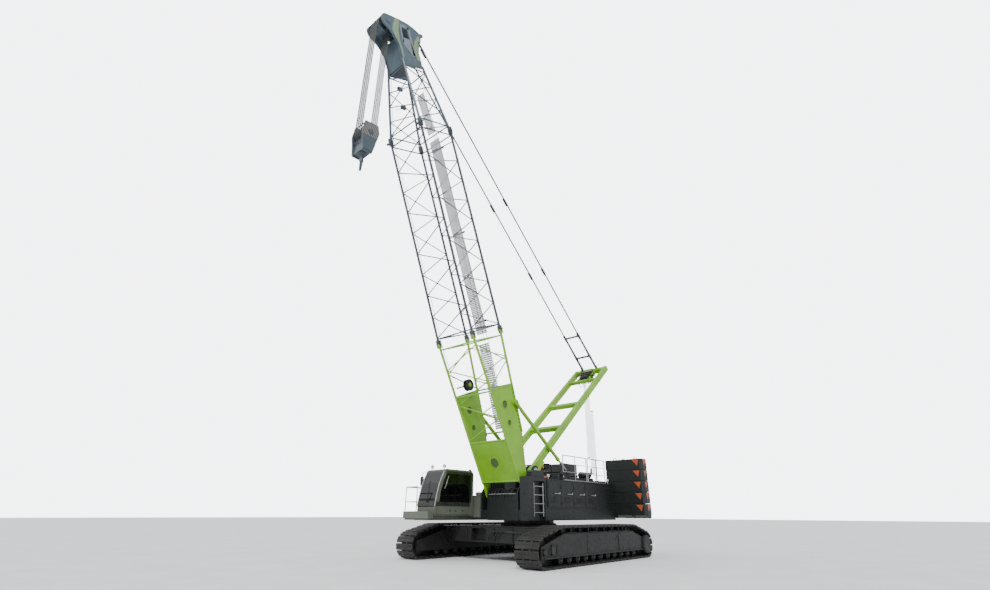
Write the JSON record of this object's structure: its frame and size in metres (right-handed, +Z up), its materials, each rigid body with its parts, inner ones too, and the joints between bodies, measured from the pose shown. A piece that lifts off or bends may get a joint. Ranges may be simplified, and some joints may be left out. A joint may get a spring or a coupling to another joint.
{
  "type": "crawler crane",
  "caption": "Crawler crane with a lattice boom held by a mast and pendants, stacked counterweights and a hook block.",
  "frame": {"origin": "on the ground under the middle of the whole crane's bounding box", "axes": "+X forward over the idlers and boom, +Y to the left, +Z up"},
  "size_m": [16.4343, 6.8406, 21.8186],
  "materials": {
    "undercarriage_paint": "worn dark grey paint with dried dirt",
    "track_steel": "worn cast steel",
    "upper_paint": "dark green-black satin paint",
    "lime_paint": "lime green gloss paint",
    "boom_paint": "grey satin paint",
    "cab_paint": "olive grey satin paint",
    "dark_glass": "tinted glass",
    "galvanised_steel": "galvanised",
    "sheave_steel": "greased steel",
    "seat_cloth": "black cloth",
    "block_paint": "faded striped paint"
  },
  "bodies": {
    "undercarriage": {"car_body": "undercarriage_paint", "track_frame_left": "undercarriage_paint", "track_frame_right": "undercarriage_paint", "track_left": "track_steel", "track_right": "track_steel", "sprocket_left": "track_steel", "sprocket_right": "track_steel", "idler_left": "track_steel", "idler_right": "track_steel"},
    "upper_works": {"main_frame": "upper_paint", "engine_house_left": "upper_paint", "engine_house_right": "upper_paint", "engine": "undercarriage_paint", "front_box_left": "upper_paint", "ladder": "galvanised_steel", "handrail": "galvanised_steel", "counterweight_tray": "upper_paint", "counterweight_left": "upper_paint", "counterweight_right": "upper_paint", "cab_shell": "cab_paint", "windscreen": "dark_glass", "cab_glass_left": "dark_glass", "cab_glass_rear": "dark_glass", "operator_seat": "seat_cloth", "cab_deck": "cab_paint", "cab_railing": "lime_paint"},
    "boom": {"boom_base": "lime_paint", "boom_insert": "boom_paint", "boom_top": "boom_paint", "boom_walkway": "galvanised_steel"},
    "mast": {"mast": "lime_paint"},
    "pendants": {"pendants": "boom_paint"},
    "luffing_ropes_upper": {"luffing_ropes_upper": "galvanised_steel"},
    "luffing_ropes_middle": {"luffing_ropes_middle": "galvanised_steel"},
    "luffing_ropes_lower": {"luffing_ropes_lower": "galvanised_steel"},
    "hook_gear": {"hoist_ropes": "galvanised_steel", "hook_block": "block_paint"},
    "hook": {"hook": "block_paint"},
    "hook_sheaves": {"hook_sheaves": "sheave_steel"},
    "head_sheaves": {"head_sheaves": "sheave_steel"},
    "mast_sheaves": {"mast_sheaves": "sheave_steel"},
    "hoist_drum_front": {"hoist_drum_front": "sheave_steel"},
    "hoist_drum_rear": {"hoist_drum_rear": "sheave_steel"},
    "luffing_drum": {"luffing_drum": "sheave_steel"},
    "cab_door": {"cab_door": "cab_paint", "cab_door_glass": "dark_glass"},
    "backstop_tube_left": {"backstop_tube_left": "lime_paint"},
    "backstop_rod_left": {"backstop_rod_left": "galvanised_steel"},
    "backstop_tube_right": {"backstop_tube_right": "lime_paint"},
    "backstop_rod_right": {"backstop_rod_right": "galvanised_steel"},
    "door_left_1": {"door_left_1": "upper_paint"},
    "door_left_2": {"door_left_2": "upper_paint"},
    "door_left_3": {"door_left_3": "upper_paint"},
    "door_left_4": {"door_left_4": "upper_paint"},
    "door_right_1": {"door_right_1": "upper_paint"},
    "door_right_2": {"door_right_2": "upper_paint"}
  },
  "joints": [
    {"name": "slew", "type": "hinge", "parent": "undercarriage", "child": "upper_works", "pos_m": [-2.03, 0, 0], "axis": [0, 0, 1], "continuous": true},
    {"name": "boom_luff", "type": "hinge", "parent": "upper_works", "child": "boom", "pos_m": [-0.6, 0, 2.34], "axis": [0, -1, 0], "range_deg": [-37.7, 12.3]},
    {"name": "mast_tilt", "type": "hinge", "parent": "upper_works", "child": "mast", "pos_m": [-1.08, 0, 3.2], "axis": [0, -1, 0], "range_deg": [-41.86, 13.69]},
    {"name": "pendant_swing", "type": "hinge", "parent": "mast", "child": "pendants", "pos_m": [-7.87828, 0, 9.05596], "axis": [0, -1, 0], "range_deg": [-1.29, 3.86]},
    {"name": "luffing_rope_swing", "type": "hinge", "parent": "mast", "child": "luffing_ropes_upper", "pos_m": [-7.57284, 0, 8.49704], "axis": [0, -1, 0], "range_deg": [-3.49, 10.61]},
    {"name": "luffing_rope_run_middle", "type": "slide", "parent": "luffing_ropes_upper", "child": "luffing_ropes_middle", "axis": [0.0151, 0, -0.9999], "range_m": [-0.72, 2.2007]},
    {"name": "luffing_rope_run_lower", "type": "slide", "parent": "luffing_ropes_middle", "child": "luffing_ropes_lower", "axis": [0.0151, 0, -0.9999], "range_m": [-0.72, 2.2007]},
    {"name": "backstop_tube_left_swing", "type": "hinge", "parent": "boom", "child": "backstop_tube_left", "pos_m": [0.1279, 1.1, 5.74873], "axis": [0, -1, 0], "range_deg": [-5.2, 15.85]},
    {"name": "backstop_rod_left_stroke", "type": "slide", "parent": "backstop_tube_left", "child": "backstop_rod_left", "axis": [-0.82, 0, -0.5724], "range_m": [-0.4573, 1.3953]},
    {"name": "backstop_tube_right_swing", "type": "hinge", "parent": "boom", "child": "backstop_tube_right", "pos_m": [0.1279, -1.1, 5.74873], "axis": [0, -1, 0], "range_deg": [-5.2, 15.85]},
    {"name": "backstop_rod_right_stroke", "type": "slide", "parent": "backstop_tube_right", "child": "backstop_rod_right", "axis": [-0.82, 0, -0.5724], "range_m": [-0.4573, 1.3953]},
    {"name": "hook_hang", "type": "hinge", "parent": "boom", "child": "hook_gear", "pos_m": [7.83814, 0, 20.88509], "axis": [0, -1, 0], "range_deg": [-12.35, 37.75]},
    {"name": "head_sheaves_turn", "type": "hinge", "parent": "boom", "child": "head_sheaves", "pos_m": [7.83814, 0, 20.88509], "axis": [0, 1, 0], "continuous": true},
    {"name": "hook_sheaves_turn", "type": "hinge", "parent": "hook_gear", "child": "hook_sheaves", "pos_m": [7.83814, 0, 14.88509], "axis": [0, 1, 0], "continuous": true},
    {"name": "hook_turn", "type": "hinge", "parent": "hook_gear", "child": "hook", "pos_m": [7.85814, 0, 13.98509], "axis": [0, 0, 1], "continuous": true},
    {"name": "mast_sheaves_turn", "type": "hinge", "parent": "mast", "child": "mast_sheaves", "pos_m": [-7.57284, 0, 8.49704], "axis": [0, 1, 0], "continuous": true},
    {"name": "hoist_drum_front_turn", "type": "hinge", "parent": "upper_works", "child": "hoist_drum_front", "pos_m": [-2.78, 0, 2.67], "axis": [0, 1, 0], "continuous": true},
    {"name": "hoist_drum_rear_turn", "type": "hinge", "parent": "upper_works", "child": "hoist_drum_rear", "pos_m": [-4.08, 0, 2.67], "axis": [0, 1, 0], "continuous": true},
    {"name": "luffing_drum_turn", "type": "hinge", "parent": "upper_works", "child": "luffing_drum", "pos_m": [-5.38, 0, 2.67], "axis": [0, 1, 0], "continuous": true},
    {"name": "cab_door_slide", "type": "slide", "parent": "upper_works", "child": "cab_door", "axis": [-1, 0, 0], "range_m": [0, 0.7]},
    {"name": "door_left_1_hinge", "type": "hinge", "parent": "upper_works", "child": "door_left_1", "pos_m": [-1.27, 1.5353, 0], "axis": [0, 0, -1], "range_deg": [0, 90]},
    {"name": "door_left_2_hinge", "type": "hinge", "parent": "upper_works", "child": "door_left_2", "pos_m": [-2.2, 1.5353, 0], "axis": [0, 0, -1], "range_deg": [0, 90]},
    {"name": "door_left_3_hinge", "type": "hinge", "parent": "upper_works", "child": "door_left_3", "pos_m": [-3.13, 1.5353, 0], "axis": [0, 0, -1], "range_deg": [0, 90]},
    {"name": "door_left_4_hinge", "type": "hinge", "parent": "upper_works", "child": "door_left_4", "pos_m": [-4.06, 1.5353, 0], "axis": [0, 0, -1], "range_deg": [0, 90]},
    {"name": "door_right_1_hinge", "type": "hinge", "parent": "upper_works", "child": "door_right_1", "pos_m": [-2.66, -1.5353, 0], "axis": [0, 0, 1], "range_deg": [0, 90]},
    {"name": "door_right_2_hinge", "type": "hinge", "parent": "upper_works", "child": "door_right_2", "pos_m": [-3.59, -1.5353, 0], "axis": [0, 0, 1], "range_deg": [0, 90]}
  ],
  "couplings": [
    {"joint": "mast_tilt", "follows": "boom_luff", "ratio": 1.109},
    {"joint": "pendant_swing", "follows": "boom_luff", "ratio": -0.101},
    {"joint": "luffing_rope_swing", "follows": "boom_luff", "ratio": -0.28},
    {"joint": "luffing_rope_run_middle", "follows": "boom_luff", "m_per_rad": -3.34},
    {"joint": "luffing_rope_run_lower", "follows": "boom_luff", "m_per_rad": -3.34},
    {"joint": "backstop_tube_left_swing", "follows": "boom_luff", "ratio": -0.419},
    {"joint": "backstop_rod_left_stroke", "follows": "boom_luff", "m_per_rad": -2.116},
    {"joint": "backstop_tube_right_swing", "follows": "boom_luff", "ratio": -0.419},
    {"joint": "backstop_rod_right_stroke", "follows": "boom_luff", "m_per_rad": -2.116},
    {"joint": "hook_hang", "follows": "boom_luff", "ratio": -1}
  ]
}
